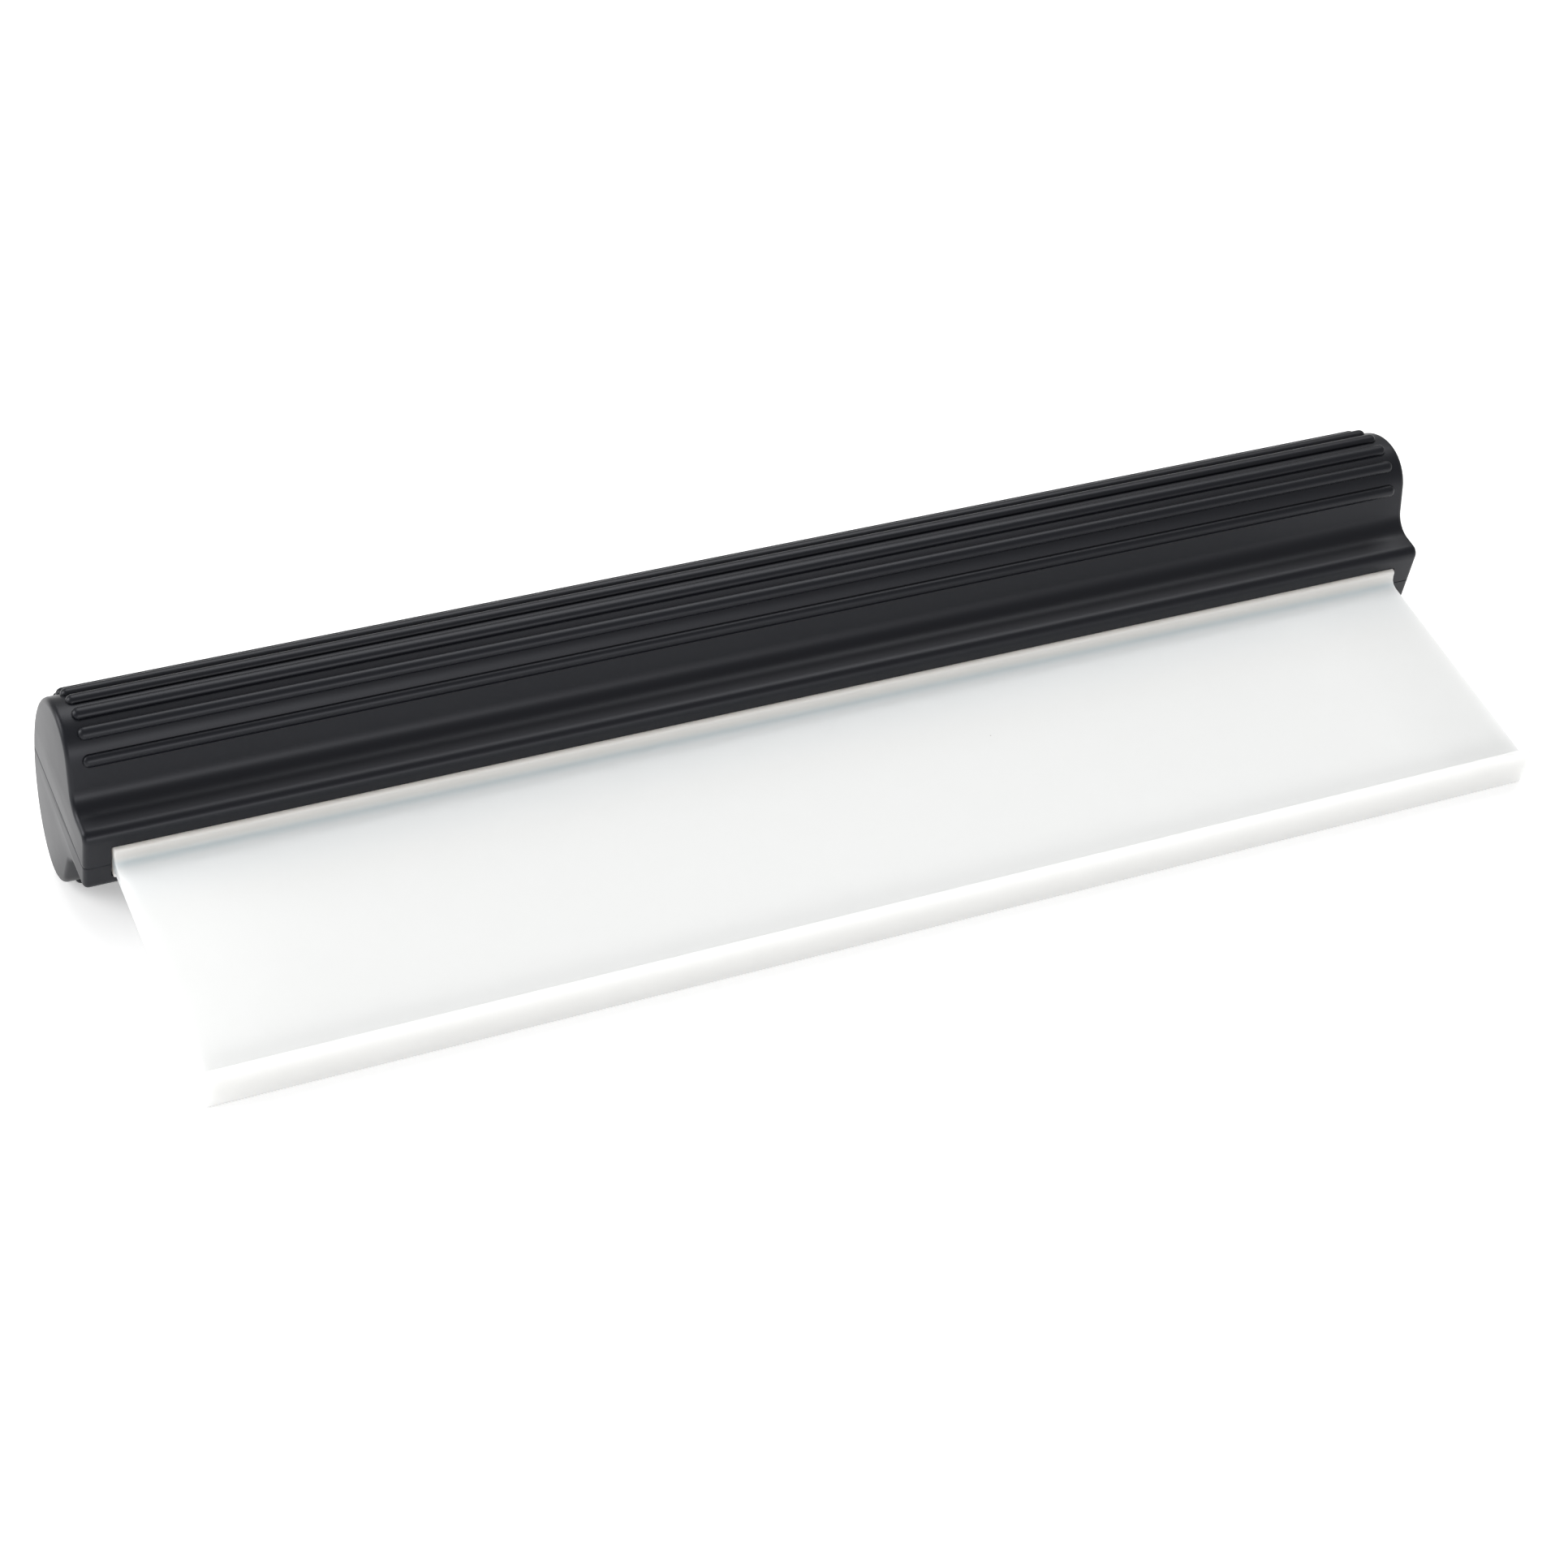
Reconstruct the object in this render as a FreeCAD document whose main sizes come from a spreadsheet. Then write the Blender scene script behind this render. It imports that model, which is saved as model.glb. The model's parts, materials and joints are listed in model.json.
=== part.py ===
# Window cleaning squeegee: a water blade with a clamshell handle and a silicone blade.
#
# Each piece is modelled in the tool's own frame and then laid down as the tool rests:
#   X  along the handle, 0 at the middle
#   Y  from the foot of the handle (0) back to the rear of the grip, so the blade points to -Y
#   Z  up, 0 at the parting plane of the two handle shells, which is also the blade's mid-plane
# The row frame has the floor at Z = 0 under the middle of the resting tool.
# Millimetres and degrees throughout.
import FreeCAD, Part
import math
import os

import Sketcher
from FreeCAD import Placement, Rotation, Vector

SIZES = {
    # handle, overall
    "jaw_end": 5.7,  # solid end of the jaws, beyond each end of the slot
    "grip_depth": 37.0,  # foot face to the rear of the grip
    "flank_angle": 72.0,  # steepness of the straight flank next to the neck
    "end_round": 1.2,  # outer edge of each end face
    # upper half of the handle
    "upper_grip_height": 24.8,  # parting plane to the crown of the grip
    "upper_foot_flat": 2.792,  # flat top of the foot, between the nose and the neck
    "upper_shoulder_radius": 9.0,  # convex front of the grip
    "upper_neck_radius": 5.0,  # hollow between the flank and the foot
    "upper_jaw_thickness": 4.35,  # slot to the outside of the foot
    "upper_nose_radius": 2.2,  # front edge of the foot
    # lower half of the handle, which has the slimmer jaw
    "lower_grip_height": 24.0,
    "lower_foot_flat": 4.755,
    "lower_shoulder_radius": 9.5,
    "lower_neck_radius": 6.0,
    "lower_jaw_thickness": 2.7,
    "lower_nose_radius": 1.2,
    # handle, inside
    "wall": 2.6,
    "end_wall": 3.0,
    "bay_count": 6.0,
    "cross_wall": 3.6,
    "bay_ledge": 0.5,  # front of the hollow ahead of the end of its shoulder curve
    # grip ribs
    "rib_width": 2.9,
    "rib_height": 1.3,
    "rib_sink": 0.5,  # how far a rib reaches into the wall
    "rib_end_gap": 3.2,  # end face to the rib's round end
    "rib_pitch": 4.4,
    "rib_lead": 5.45,  # crown to the first rib of the even row, along the surface
    "front_rib_gap": 5.7,  # first rib of the row to the separate front rib
    "rib_tail_gap": 4.0,  # least surface left plain behind the last rib
    # slot and the pins that clamp the blade
    "slot_back_clearance": 0.4,
    "slot_clearance": 0.1,  # jaw to blade, each side
    "slot_end_clearance": 0.3,
    "pin_radius": 1.6,
    "pin_setback": 6.0,
    "pin_engagement": 2.0,
    "pin_clearance": 0.1,
    "pin_end_clearance": 0.2,
    "pin_sink": 0.5,  # how far pins and pegs reach into the shell they grow from
    # pegs that register the shells
    "peg_radius": 1.0,
    "peg_height": 3.0,
    "peg_inset": 10.0,  # rear of the grip to the pegs
    # silicone blade
    "blade_length": 305.0,
    "blade_reach": 61.3,  # foot face to the wiping face
    "upper_root_height": 4.85,  # mid-plane to the top of the root
    "lower_root_height": 3.4,
    "root_depth": 10.6,  # foot face to the back of the root
    "root_stand_out": 1.0,  # how far the root stands out of the slot
    "upper_root_shoulder": 3.4,  # mid-plane to the foot of the root's front face
    "lower_root_shoulder": 2.4,
    "root_round": 0.8,
    "web_thickness": 3.0,
    "bar_height": 9.8,
    "bar_thickness": 2.4,
    "lip_thickness": 1.2,
    "lip_fillet": 1.2,
    # flex line
    "flex_setback": 4.0,  # foot face to the flex line, outwards
    "flex_gap": 0.3,  # round the rolled edge of the web
    "flex_angle": 30.0,  # each way
}

# ------------------------------------------------------------------ sizes and the sheet

doc = FreeCAD.newDocument("squeegee")
sheet = doc.addObject("Spreadsheet::Sheet", "sizes")
for row, (alias, number) in enumerate(SIZES.items(), start=1):
    sheet.set(f"A{row}", alias)
    sheet.set(f"B{row}", str(number))
    sheet.setAlias(f"B{row}", alias)
doc.recompute()


class Size:
    """A number together with the sheet expression that gives it."""

    def __init__(self, value, text):
        self.value = value
        self.text = text

    def __add__(self, other):
        other = as_size(other)
        return Size(self.value + other.value, f"({self.text} + {other.text})")

    def __sub__(self, other):
        other = as_size(other)
        return Size(self.value - other.value, f"({self.text} - {other.text})")

    def __mul__(self, other):
        other = as_size(other)
        return Size(self.value * other.value, f"({self.text} * {other.text})")

    def __truediv__(self, other):
        other = as_size(other)
        return Size(self.value / other.value, f"({self.text} / {other.text})")

    def __neg__(self):
        return Size(-self.value, f"(0 - {self.text})")


def as_size(number):
    return number if isinstance(number, Size) else Size(float(number), str(float(number)))


def size(alias):
    return Size(SIZES[alias], f"sizes.{alias}")


def sine(angle):
    return Size(math.sin(math.radians(angle.value)), f"sin({angle.text} * 1 deg)")


def cosine(angle):
    return Size(math.cos(math.radians(angle.value)), f"cos({angle.text} * 1 deg)")


def tangent(angle):
    return Size(math.tan(math.radians(angle.value)), f"tan({angle.text} * 1 deg)")


ZERO = as_size(0)
RIGHT_ANGLE = as_size(90)
OVERCUT = as_size(1)  # how far a cut runs past the face that it opens
REAR_STEPS = 400  # steps that measure the surface round the rear of the grip

# ------------------------------------------------------------------ sketch helpers


def plane_of(body, role):
    return next(item for item in body.Origin.OriginFeatures if item.Role == role)


def new_sketch(body, name, role, base=(ZERO, ZERO, ZERO), turn=0.0):
    """A sketch on one of the body's origin planes, moved by base and turned about its own x."""
    sketch = body.newObject("Sketcher::SketchObject", name)
    sketch.AttachmentSupport = [(plane_of(body, role), "")]
    sketch.MapMode = "FlatFace"
    start = Vector(*(item.value for item in base))
    sketch.AttachmentOffset = Placement(start, Rotation(Vector(1, 0, 0), turn))
    for axis, item in zip("xyz", base):
        if item is not ZERO:
            sketch.setExpression(f"AttachmentOffset.Base.{axis}", item.text)
    return sketch


def bind(sketch, kind, *where, to):
    """Add a dimension whose value follows the sheet."""
    index = sketch.addConstraint(Sketcher.Constraint(kind, *where, to.value))
    sketch.setExpression(f"Constraints[{index}]", to.text)


def hold_point(sketch, geometry, end, across, along):
    """Hold a point at two sizes measured from the sketch's origin."""
    for kind, axis, item in (("DistanceX", -2, across), ("DistanceY", -1, along)):
        if item is ZERO:
            sketch.addConstraint(Sketcher.Constraint("PointOnObject", geometry, end, axis))
        else:
            bind(sketch, kind, -1, 1, geometry, end, to=item)


def hold_chain(sketch, first, last, closed=True):
    """Join neighbouring geometry end to start."""
    for index in range(first, last):
        sketch.addConstraint(Sketcher.Constraint("Coincident", index, 2, index + 1, 1))
    if closed:
        sketch.addConstraint(Sketcher.Constraint("Coincident", last, 2, first, 1))


def point(across, along):
    return Vector(across.value, along.value, 0)


def polygon(sketch, corners):
    """A closed outline of straight lines through corners given as pairs of sizes."""
    first = sketch.GeometryCount
    ends = corners[1:] + corners[:1]
    for start, end in zip(corners, ends):
        sketch.addGeometry(Part.LineSegment(point(*start), point(*end)), False)
    hold_chain(sketch, first, sketch.GeometryCount - 1)
    for index, corner in enumerate(corners):
        hold_point(sketch, first + index, 1, *corner)


def circle(sketch, across, along, radius):
    spot = Part.Circle(point(across, along), Vector(0, 0, 1), radius.value)
    index = sketch.addGeometry(spot, False)
    bind(sketch, "Radius", index, to=radius)
    hold_point(sketch, index, 3, across, along)


def pad(body, sketch, length, both_ways=False):
    feature = body.newObject("PartDesign::Pad", f"{sketch.Name}_pad")
    feature.Profile = sketch
    feature.SideType = "Symmetric" if both_ways else "One side"
    feature.setExpression("Length", length.text)
    sketch.Visibility = False
    doc.recompute()
    return feature


def pocket(body, sketch, length, both_ways=False, reverse=False):
    feature = body.newObject("PartDesign::Pocket", f"{sketch.Name}_cut")
    feature.Profile = sketch
    feature.SideType = "Symmetric" if both_ways else "One side"
    feature.Reversed = reverse
    feature.setExpression("Length", length.text)
    before = feature.BaseFeature.Shape.Volume
    doc.recompute()
    if feature.Shape.isNull() or feature.Shape.Volume >= before:
        raise RuntimeError(f"{feature.Name} removes nothing")
    return feature


def row_along_x(body, feature, span, count):
    """Repeat a feature along X: span is the distance from the first to the last."""
    row = body.newObject("PartDesign::LinearPattern", f"{feature.Name}_row")
    row.Originals = [feature]
    row.Direction = (plane_of(body, "X_Axis"), [""])
    row.setExpression("Length", span.text)
    row.setExpression("Occurrences", count.text)
    body.Tip = row
    doc.recompute()
    return row


def edges_where(shape, test):
    """The names of the edges whose every sampled point passes the test."""
    names = []
    for index, edge in enumerate(shape.Edges, start=1):
        if all(test(spot) for spot in edge.discretize(5)):
            names.append(f"Edge{index}")
    return names


def fillet(body, base, test, radius):
    feature = body.newObject("PartDesign::Fillet", f"{base.Name}_round")
    feature.Base = (base, edges_where(base.Shape, test))
    feature.setExpression("Radius", radius.text)
    doc.recompute()
    return feature


# ------------------------------------------------------------------ shared places

slot_depth = size("root_depth") + size("slot_back_clearance")
slot_length = size("blade_length") + size("slot_end_clearance") * 2
handle_length = slot_length + size("jaw_end") * 2
peg_setback = size("grip_depth") - size("peg_inset")
inner_length = handle_length - size("end_wall") * 2
bay_pitch = (inner_length + size("cross_wall")) / size("bay_count")
bay_length = bay_pitch - size("cross_wall")
first_bay = bay_length / 2 - inner_length / 2
first_cross_wall = bay_length + size("cross_wall") / 2 - inner_length / 2
all_bays = bay_pitch * (size("bay_count") - 1)
all_cross_walls = bay_pitch * (size("bay_count") - 2)
cross_wall_count = size("bay_count") - 1

flank = size("flank_angle")


class Half:
    """The sizes of one half of the handle: side is 1 above the parting plane and -1 below it."""

    def __init__(self, kind, side):
        self.side = side
        self.crown = size(f"{kind}_grip_height")
        self.shoulder = size(f"{kind}_shoulder_radius")
        self.neck = size(f"{kind}_neck_radius")
        self.nose = size(f"{kind}_nose_radius")
        self.slot = size(f"{kind}_root_height") + size("slot_clearance")
        self.foot = self.slot + size(f"{kind}_jaw_thickness")
        neck_start = self.nose + size(f"{kind}_foot_flat")
        self.flank_foot = neck_start + self.neck * tangent(flank / 2)
        flank_head = self.flank_foot + (self.crown - self.foot) / tangent(flank)
        # foot face to the crown
        self.setback = flank_head + self.shoulder * tangent(flank / 2)


UPPER, LOWER = Half("upper", 1), Half("lower", -1)

# ------------------------------------------------------------------ handle shells


def grip_curve(sketch, half, inset):
    """The grip from its flank round the shoulder and crown to the rear tip, inset by a wall.

    Adds the shoulder arc and the quarter ellipse behind it and returns the index of each, with
    the points where the curve starts and ends.
    """
    crown = half.crown - inset
    setback = half.setback
    depth = size("grip_depth") - setback - inset
    radius = half.shoulder - inset
    middle = Vector(setback.value, crown.value - radius.value, 0)
    sweep = math.radians(flank.value)
    arc = Part.ArcOfCircle(
        Part.Circle(middle, Vector(0, 0, 1), radius.value), math.pi / 2, math.pi / 2 + sweep
    )
    shoulder = sketch.addGeometry(arc, False)
    centre = Vector(setback.value, 0, 0)
    upright = crown.value >= depth.value
    if upright:
        ellipse = Part.Ellipse(centre + Vector(0, crown.value, 0), centre - Vector(depth.value, 0, 0), centre)
        quarter = Part.ArcOfEllipse(ellipse, 1.5 * math.pi, 2 * math.pi)
    else:
        ellipse = Part.Ellipse(centre + Vector(depth.value, 0, 0), centre + Vector(0, crown.value, 0), centre)
        quarter = Part.ArcOfEllipse(ellipse, 0, 0.5 * math.pi)
    rear = sketch.addGeometry(quarter, False)
    # shoulder: start at the crown, end at the flank; rear: start at the tip, end at the crown
    sketch.addConstraint(Sketcher.Constraint("Coincident", rear, 2, shoulder, 1))
    bind(sketch, "Radius", shoulder, to=radius)
    hold_point(sketch, shoulder, 1, setback, crown)
    bind(sketch, "DistanceX", -1, 1, shoulder, 3, to=setback)
    sketch.exposeInternalGeometry(rear)
    tall, wide = (rear + 1, rear + 2) if upright else (rear + 2, rear + 1)
    sketch.addConstraint(Sketcher.Constraint("Vertical", tall))
    bind(sketch, "Distance", wide, to=depth * 2)
    hold_point(sketch, rear, 3, setback, ZERO)
    sketch.addConstraint(Sketcher.Constraint("PointOnObject", rear, 1, -1))
    flank_top = Vector(
        middle.x - radius.value * math.sin(sweep), middle.y + radius.value * math.cos(sweep), 0
    )
    return shoulder, rear, flank_top, Vector(setback.value + depth.value, 0, 0)


def outer_outline(sketch, half):
    """The outside of one half, from the foot face over the grip to its rear tip."""
    shoulder, rear, flank_top, tip = grip_curve(sketch, half, ZERO)
    front_corner = Vector(0, half.foot.value, 0)
    neck_corner = point(half.flank_foot, half.foot)
    spots = [tip, Vector(0, 0, 0), front_corner, neck_corner, flank_top]
    lines = [
        sketch.addGeometry(Part.LineSegment(start, end), False)
        for start, end in zip(spots, spots[1:])
    ]
    hold_chain(sketch, lines[0], lines[-1], closed=False)
    sketch.addConstraint(Sketcher.Constraint("Coincident", lines[0], 1, rear, 1))
    sketch.addConstraint(Sketcher.Constraint("Coincident", lines[1], 1, -1, 1))
    sketch.addConstraint(Sketcher.Constraint("Tangent", lines[-1], 2, shoulder, 2))
    hold_point(sketch, lines[1], 2, ZERO, half.foot)
    hold_point(sketch, lines[2], 2, half.flank_foot, half.foot)


def bay_outline(sketch, half):
    """One half of a bay of the hollow, which a wall parts from the slot."""
    wall, ledge_length = size("wall"), size("bay_ledge")
    shoulder, rear, flank_top, tip = grip_curve(sketch, half, wall)
    front = half.setback - (half.shoulder - wall) * sine(flank) - ledge_length
    drop = ledge_length.value * math.tan(math.radians(flank.value))
    ledge = Vector(front.value, flank_top.y - drop, 0)
    spots = [tip, Vector(front.value, 0, 0), ledge, flank_top]
    lines = [
        sketch.addGeometry(Part.LineSegment(begin, end), False)
        for begin, end in zip(spots, spots[1:])
    ]
    hold_chain(sketch, lines[0], lines[-1], closed=False)
    sketch.addConstraint(Sketcher.Constraint("Coincident", lines[0], 1, rear, 1))
    sketch.addConstraint(Sketcher.Constraint("Tangent", lines[-1], 2, shoulder, 2))
    sketch.addConstraint(Sketcher.Constraint("Vertical", lines[1]))
    hold_point(sketch, lines[1], 1, front, ZERO)
    slope = Size(math.radians(flank.value), f"{flank.text} * 1 deg")
    bind(sketch, "Angle", lines[-1], to=slope)


def rear_surface(half):
    """Turns round the rear quarter ellipse from the crown, each with the surface passed."""
    depth, height = SIZES["grip_depth"] - half.setback.value, half.crown.value
    step = math.pi / 2 / REAR_STEPS
    turn, passed = 0.0, 0.0
    found = [(turn, passed)]
    for _ in range(REAR_STEPS):
        turn += step
        passed += math.hypot(depth * math.cos(turn), height * math.sin(turn)) * step
        found.append((turn, passed))
    return found


def surface_at(half, distance):
    """Point and outward normal on the grip, at a distance from the crown along its surface.

    The distance is positive towards the foot and negative towards the rear.
    """
    radius, setback, height = half.shoulder.value, half.setback.value, half.crown.value
    sweep = math.radians(SIZES["flank_angle"])
    if distance >= 0:
        turn = min(distance / radius, sweep)
        past = max(distance - radius * sweep, 0.0)
        across = setback - radius * math.sin(turn) - past * math.cos(turn)
        up = height - radius * (1 - math.cos(turn)) - past * math.sin(turn)
        return across, up, (-math.sin(turn), math.cos(turn))
    depth = SIZES["grip_depth"] - setback
    turn = next((turn for turn, passed in rear_surface(half) if passed >= -distance), math.pi / 2)
    normal = Vector(math.sin(turn) / depth, math.cos(turn) / height, 0).normalize()
    return setback + depth * math.sin(turn), height * math.cos(turn), (normal.x, normal.y)


def rib_distances(half):
    """The front rib, then an even row that stops short of the parting plane behind."""
    rear_length = rear_surface(half)[-1][1]
    room = SIZES["rib_lead"] + rear_length - SIZES["rib_tail_gap"] - SIZES["rib_width"] / 2
    count = int(room / SIZES["rib_pitch"]) + 1
    row = [SIZES["rib_lead"] - SIZES["rib_pitch"] * index for index in range(count)]
    return [SIZES["rib_lead"] + SIZES["front_rib_gap"]] + row


def add_rib(body, name, distance, half):
    """A round-ended rib that stands on the grip, at a distance from the crown."""
    across, up, normal = surface_at(half, distance)
    sink = SIZES["rib_sink"]
    base = Vector(0, across - sink * normal[0], half.side * (up - sink * normal[1]))
    turn = math.degrees(math.atan2(-normal[0], half.side * normal[1]))
    sketch = new_sketch(body, name, "XY_Plane")
    sketch.AttachmentOffset = Placement(base, Rotation(Vector(1, 0, 0), turn))
    reach = handle_length / 2 - size("rib_end_gap") - size("rib_width") / 2
    radius = size("rib_width") / 2
    right, left = Vector(reach.value, 0, 0), Vector(-reach.value, 0, 0)
    lift = Vector(0, radius.value, 0)
    axis = Vector(0, 0, 1)
    sides_and_ends = [
        Part.LineSegment(left - lift, right - lift),
        Part.ArcOfCircle(Part.Circle(right, axis, radius.value), -math.pi / 2, math.pi / 2),
        Part.LineSegment(right + lift, left + lift),
        Part.ArcOfCircle(Part.Circle(left, axis, radius.value), math.pi / 2, 1.5 * math.pi),
    ]
    for item in sides_and_ends:
        sketch.addGeometry(item, False)
    for first, second in ((0, 1), (1, 2), (2, 3), (3, 0)):
        sketch.addConstraint(Sketcher.Constraint("Tangent", first, 2, second, 1))
    sketch.addConstraint(Sketcher.Constraint("Equal", 1, 3))
    bind(sketch, "Radius", 1, to=radius)
    hold_point(sketch, 1, 3, reach, ZERO)
    hold_point(sketch, 3, 3, -reach, ZERO)
    return pad(body, sketch, size("rib_sink") + size("rib_height"))


def build_shell(name, half):
    """One shell of the handle, with its ribs, bays, half of the slot, and pins or sockets."""
    body = doc.addObject("PartDesign::Body", name)
    body.Label = name
    side = half.side
    over = 0.0 if side > 0 else 180.0

    outline = new_sketch(body, f"{name}_outline", "YZ_Plane", turn=over)
    outer_outline(outline, half)
    block = pad(body, outline, handle_length, both_ways=True)

    neck_y, foot_z = half.flank_foot.value, half.foot.value
    hollow = fillet(
        body,
        block,
        lambda spot: abs(spot.y - neck_y) < 0.01 and abs(side * spot.z - foot_z) < 0.01,
        half.neck,
    )
    nose = fillet(
        body,
        hollow,
        lambda spot: abs(spot.y) < 0.01 and abs(side * spot.z - foot_z) < 0.01,
        half.nose,
    )
    end_x = handle_length.value / 2

    def on_end_rim(spot):
        return abs(abs(spot.x) - end_x) < 0.01

    rim_edges = []
    for index, edge in enumerate(nose.Shape.Edges, start=1):
        spots = edge.discretize(5)
        if all(on_end_rim(spot) for spot in spots) and any(abs(spot.z) > 0.01 for spot in spots):
            rim_edges.append(f"Edge{index}")
    rim = body.newObject("PartDesign::Fillet", f"{name}_rim")
    rim.Base = (nose, rim_edges)
    rim.setExpression("Radius", size("end_round").text)
    doc.recompute()

    for index, distance in enumerate(rib_distances(half), start=1):
        add_rib(body, f"{name}_rib_{index}", distance, half)

    bay = new_sketch(body, f"{name}_bay", "YZ_Plane", (ZERO, ZERO, first_bay), over)
    bay_outline(bay, half)
    first = pocket(body, bay, bay_length, both_ways=True)
    row_along_x(body, first, all_bays, size("bay_count"))

    slot = new_sketch(body, f"{name}_slot", "YZ_Plane", turn=over)
    before, below = -OVERCUT, -OVERCUT
    corners = [(before, below), (slot_depth, below), (slot_depth, half.slot), (before, half.slot)]
    polygon(slot, corners)
    pocket(body, slot, slot_length, both_ways=True)

    if side < 0:
        add_pins(body, name)
    else:
        add_sockets(body, name)
    return body


def add_pins(body, name):
    """Clamp pins on the lower jaw and register pegs on the lower cross walls."""
    sink = size("pin_sink")
    pins = new_sketch(body, f"{name}_pin", "XY_Plane", (ZERO, ZERO, -(LOWER.slot + sink)))
    circle(pins, first_bay, size("pin_setback"), size("pin_radius"))
    first_pin = pad(body, pins, sink + LOWER.slot + UPPER.slot + size("pin_engagement"))
    row_along_x(body, first_pin, all_bays, size("bay_count"))
    pegs = new_sketch(body, f"{name}_peg", "XY_Plane", (ZERO, ZERO, -sink))
    circle(pegs, first_cross_wall, peg_setback, size("peg_radius"))
    first_peg = pad(body, pegs, sink + size("peg_height"))
    row_along_x(body, first_peg, all_cross_walls, cross_wall_count)


def add_sockets(body, name):
    """Blind holes in the upper shell for the pins and pegs of the lower one."""
    clear, end = size("pin_clearance"), size("pin_end_clearance")
    holes = new_sketch(body, f"{name}_socket", "XY_Plane")
    circle(holes, first_bay, size("pin_setback"), size("pin_radius") + clear)
    first_hole = pocket(body, holes, UPPER.slot + size("pin_engagement") + end, reverse=True)
    row_along_x(body, first_hole, all_bays, size("bay_count"))
    seats = new_sketch(body, f"{name}_seat", "XY_Plane")
    circle(seats, first_cross_wall, peg_setback, size("peg_radius") + clear)
    first_seat = pocket(body, seats, size("peg_height") + end, reverse=True)
    row_along_x(body, first_seat, all_cross_walls, cross_wall_count)


# ------------------------------------------------------------------ silicone blade


def build_blade_root():
    """The thick root that the jaws clamp, with the pin holes and the seat of the flex line."""
    body = doc.addObject("PartDesign::Body", "blade_root")
    body.Label = "blade_root"
    top, bottom = size("upper_root_height"), -size("lower_root_height")
    front = -size("root_stand_out")
    back, hinge = size("root_depth"), -size("flex_setback")
    seat_radius = size("web_thickness") / 2 + size("flex_gap")
    lip_angle = RIGHT_ANGLE - size("flex_angle")
    lip_y = hinge + seat_radius * cosine(lip_angle)
    lip_z = seat_radius * sine(lip_angle)

    sketch = new_sketch(body, "root_outline", "YZ_Plane")
    corners = [
        (lip_y, -lip_z),
        (front, -size("lower_root_shoulder")),
        (front, bottom),
        (back, bottom),
        (back, top),
        (front, top),
        (front, size("upper_root_shoulder")),
        (lip_y, lip_z),
    ]
    for start, end in zip(corners, corners[1:]):
        sketch.addGeometry(Part.LineSegment(point(*start), point(*end)), False)
    last_line = sketch.GeometryCount - 1
    sweep = math.radians(lip_angle.value)
    seat = sketch.addGeometry(
        Part.ArcOfCircle(
            Part.Circle(point(hinge, ZERO), Vector(0, 0, 1), seat_radius.value), -sweep, sweep
        ),
        False,
    )
    hold_chain(sketch, 0, last_line, closed=False)
    for index, corner in enumerate(corners[:-1]):
        hold_point(sketch, index, 1, *corner)
    hold_point(sketch, last_line, 2, *corners[-1])
    sketch.addConstraint(Sketcher.Constraint("Coincident", seat, 1, 0, 1))
    sketch.addConstraint(Sketcher.Constraint("Coincident", seat, 2, last_line, 2))
    bind(sketch, "DistanceX", -1, 1, seat, 3, to=hinge)
    block = pad(body, sketch, size("blade_length"), both_ways=True)

    def on_long_corner(spot):
        at_face = min(abs(spot.y - front.value), abs(spot.y - back.value)) < 0.01
        return at_face and min(abs(spot.z - top.value), abs(spot.z - bottom.value)) < 0.01

    fillet(body, block, on_long_corner, size("root_round"))
    holes = new_sketch(body, "root_hole", "XY_Plane")
    circle(holes, first_bay, size("pin_setback"), size("pin_radius") + size("pin_clearance"))
    first_hole = pocket(body, holes, (top + OVERCUT) * 2, both_ways=True)
    row_along_x(body, first_hole, all_bays, size("bay_count"))
    return body


def build_blade_web():
    """The thin web with its rolled inner edge and the T-shaped wiping bar."""
    body = doc.addObject("PartDesign::Body", "blade_web")
    body.Label = "blade_web"
    hinge, half = -size("flex_setback"), size("web_thickness") / 2
    face, lip = -size("blade_reach"), size("bar_height") / 2
    corners = [
        (hinge, half),
        (face + size("bar_thickness"), half),
        (face + size("lip_thickness"), lip),
        (face, lip),
        (face, -lip),
        (face + size("lip_thickness"), -lip),
        (face + size("bar_thickness"), -half),
        (hinge, -half),
    ]
    sketch = new_sketch(body, "web_outline", "YZ_Plane")
    for start, end in zip(corners, corners[1:]):
        sketch.addGeometry(Part.LineSegment(point(*start), point(*end)), False)
    last_line = sketch.GeometryCount - 1
    roll = sketch.addGeometry(
        Part.ArcOfCircle(
            Part.Circle(point(hinge, ZERO), Vector(0, 0, 1), half.value), -math.pi / 2, math.pi / 2
        ),
        False,
    )
    hold_chain(sketch, 0, last_line, closed=False)
    for index, corner in enumerate(corners[:-1]):
        hold_point(sketch, index, 1, *corner)
    hold_point(sketch, last_line, 2, *corners[-1])
    sketch.addConstraint(Sketcher.Constraint("Coincident", roll, 1, last_line, 2))
    sketch.addConstraint(Sketcher.Constraint("Coincident", roll, 2, 0, 1))
    bind(sketch, "DistanceX", -1, 1, roll, 3, to=hinge)
    block = pad(body, sketch, size("blade_length"), both_ways=True)

    inner_y = (face + size("bar_thickness")).value

    def in_corner(spot):
        return abs(spot.y - inner_y) < 0.01 and abs(abs(spot.z) - half.value) < 0.01

    fillet(body, block, in_corner, size("lip_fillet"))
    return body


# ------------------------------------------------------------------ resting pose


def lowest(spots, tilt):
    """Height of the lowest spot once the tool is tipped by tilt about X."""
    return min(spot.y * math.sin(tilt) + spot.z * math.cos(tilt) for spot in spots)


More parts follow.
